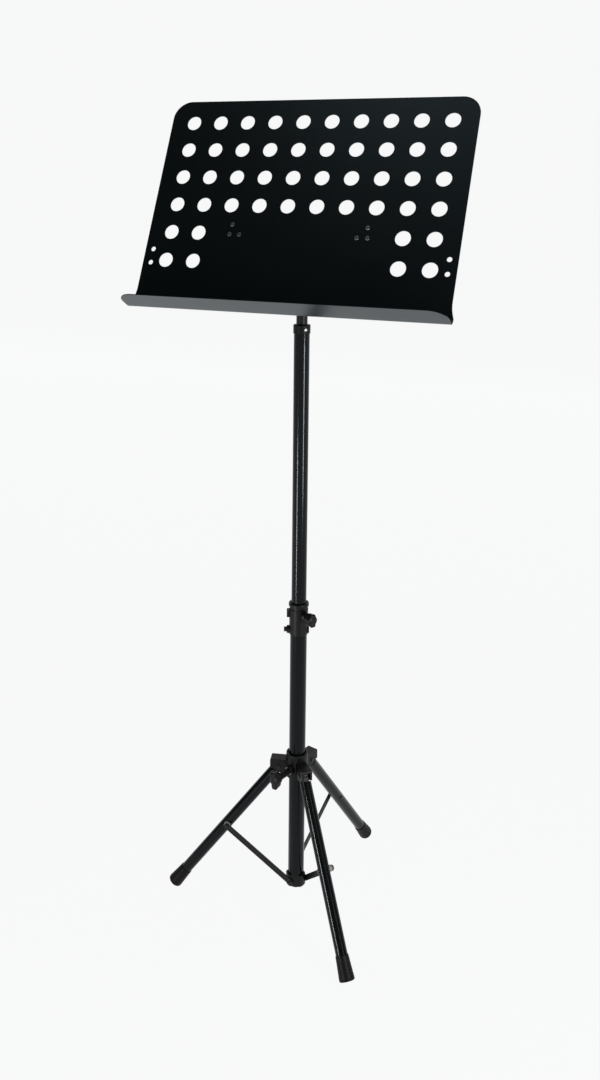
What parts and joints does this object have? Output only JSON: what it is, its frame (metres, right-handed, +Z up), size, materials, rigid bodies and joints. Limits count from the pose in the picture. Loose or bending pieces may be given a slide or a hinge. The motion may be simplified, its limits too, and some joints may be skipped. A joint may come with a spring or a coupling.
{
  "type": "music stand",
  "caption": "Folding orchestral music stand: perforated sheet desk with a folded shelf on a telescopic mast with a tripod of tubular legs and flat stays.",
  "frame": {"origin": "on the floor, on the mast's axis", "axes": "+Z up along the mast; the desk faces -Y and leans back towards +Y; +X to the right as the player sees it from the front"},
  "size_m": [0.522, 0.402, 1.3968],
  "materials": {
    "desk_paint": "satin black powder coat",
    "tube_paint": "glossy black paint",
    "black_plastic": "moulded black plastic",
    "foot_rubber": "dull rubber",
    "bright_steel": "zinc plated",
    "black_steel": "blackened steel",
    "grey_nylon": "nylon",
    "brass": "plain brass"
  },
  "bodies": {
    "mast": {"lower_tube": "tube_paint", "height_collar": "black_plastic", "collar_liner": "black_plastic", "collar_screws": "black_steel", "collar_insert": "brass", "collar_pad": "grey_nylon", "lower_spider": "black_plastic", "spider_pins": "black_steel", "mast_bumper": "foot_rubber"},
    "height_clamp": {"height_knob": "black_plastic", "height_stud": "bright_steel", "height_washer": "bright_steel"},
    "upper_mast": {"upper_tube": "tube_paint", "upper_tube_cap": "black_plastic", "cap_screw": "bright_steel", "guide_bush": "grey_nylon"},
    "tilt_head": {"stem": "black_steel", "stem_pin": "bright_steel", "tilt_clamp": "black_plastic", "tilt_bush": "grey_nylon", "tilt_bolt": "bright_steel", "tilt_washer": "bright_steel"},
    "tilt_nut": {"tilt_wing_nut": "bright_steel"},
    "desk": {"desk_sheet": "desk_paint", "desk_bracket_left": "tube_paint", "desk_bracket_right": "tube_paint", "desk_rivets": "bright_steel", "tilt_tube": "tube_paint"},
    "hub": {"tripod_hub": "black_plastic", "hub_pins": "black_steel", "hub_insert": "brass", "hub_pad": "grey_nylon"},
    "hub_clamp": {"hub_knob": "black_plastic", "hub_stud": "bright_steel", "hub_washer": "bright_steel"},
    "stay_front": {"stay_front": "black_steel"},
    "leg_front": {"leg_tube_front": "tube_paint", "leg_eye_front": "black_plastic", "foot_front": "foot_rubber", "leg_rivet_front": "black_steel", "spacer_front": "grey_nylon"},
    "stay_rear": {"stay_rear": "black_steel"},
    "leg_rear": {"leg_tube_rear": "tube_paint", "leg_eye_rear": "black_plastic", "foot_rear": "foot_rubber", "leg_rivet_rear": "black_steel", "spacer_rear": "grey_nylon"},
    "stay_left": {"stay_left": "black_steel"},
    "leg_left": {"leg_tube_left": "tube_paint", "leg_eye_left": "black_plastic", "foot_left": "foot_rubber", "leg_rivet_left": "black_steel", "spacer_left": "grey_nylon"}
  },
  "joints": [
    {"name": "height_slide", "type": "slide", "parent": "mast", "child": "upper_mast", "axis": [0, 0, 1], "range_m": [-0.4, 0.02]},
    {"name": "stem_swivel", "type": "hinge", "parent": "upper_mast", "child": "tilt_head", "pos_m": [0, 0, 1.05], "axis": [0, 0, 1], "continuous": true},
    {"name": "desk_tilt", "type": "hinge", "parent": "tilt_head", "child": "desk", "pos_m": [0, 0, 1.1857], "axis": [-1, 0, 0], "range_deg": [-26.2, 63.8]},
    {"name": "tilt_nut_turn", "type": "hinge", "parent": "tilt_head", "child": "tilt_nut", "pos_m": [0, 0.028, 1.1707], "axis": [0, 0, -1], "range_deg": [0, 90]},
    {"name": "height_knob_turn", "type": "hinge", "parent": "mast", "child": "height_clamp", "pos_m": [0.02487, -0.01678, 0.5575], "axis": [0.829, -0.5592, 0], "range_deg": [0, 90]},
    {"name": "hub_knob_turn", "type": "hinge", "parent": "hub", "child": "hub_clamp", "pos_m": [-0.01149, -0.03831, 0.268], "axis": [-0.2874, -0.9578, 0], "range_deg": [0, 90]},
    {"name": "stay_front_fold", "type": "hinge", "parent": "mast", "child": "stay_front", "pos_m": [0.01564, 0.00512, 0.0385], "axis": [-0.7278, -0.6858, 0], "range_deg": [0, 37.84]},
    {"name": "leg_front_pivot", "type": "hinge", "parent": "stay_front", "child": "leg_front", "pos_m": [0.09638, -0.08056, 0.14255], "axis": [0.7278, 0.6858, 0], "range_deg": [0, 72.64]},
    {"name": "hub_pivot", "type": "hinge", "parent": "leg_front", "child": "hub", "pos_m": [0.02195, -0.02329, 0.2665], "axis": [-0.7278, -0.6858, 0], "range_deg": [0, 34.8]},
    {"name": "stay_rear_fold", "type": "hinge", "parent": "mast", "child": "stay_rear", "pos_m": [-0.01226, 0.01099, 0.0385], "axis": [0.9578, -0.2874, 0], "range_deg": [0, 37.84]},
    {"name": "leg_rear_pivot", "type": "hinge", "parent": "stay_rear", "child": "leg_rear", "pos_m": [0.02157, 0.12375, 0.14255], "axis": [-0.9578, 0.2874, 0], "range_deg": [0, 72.64]},
    {"name": "stay_left_fold", "type": "hinge", "parent": "mast", "child": "stay_left", "pos_m": [-0.00338, -0.01611, 0.0385], "axis": [-0.23, 0.9732, 0], "range_deg": [0, 37.84]},
    {"name": "leg_left_pivot", "type": "hinge", "parent": "stay_left", "child": "leg_left", "pos_m": [-0.11796, -0.04319, 0.14255], "axis": [0.23, -0.9732, 0], "range_deg": [0, 72.64]}
  ],
  "couplings": [
    {"joint": "hub_pivot", "follows": "stay_front_fold", "ratio": 0.91954},
    {"joint": "leg_front_pivot", "follows": "stay_front_fold", "ratio": 1.9195},
    {"joint": "stay_rear_fold", "follows": "stay_front_fold", "ratio": 1},
    {"joint": "leg_rear_pivot", "follows": "stay_front_fold", "ratio": 1.9195},
    {"joint": "stay_left_fold", "follows": "stay_front_fold", "ratio": 1},
    {"joint": "leg_left_pivot", "follows": "stay_front_fold", "ratio": 1.9195}
  ]
}
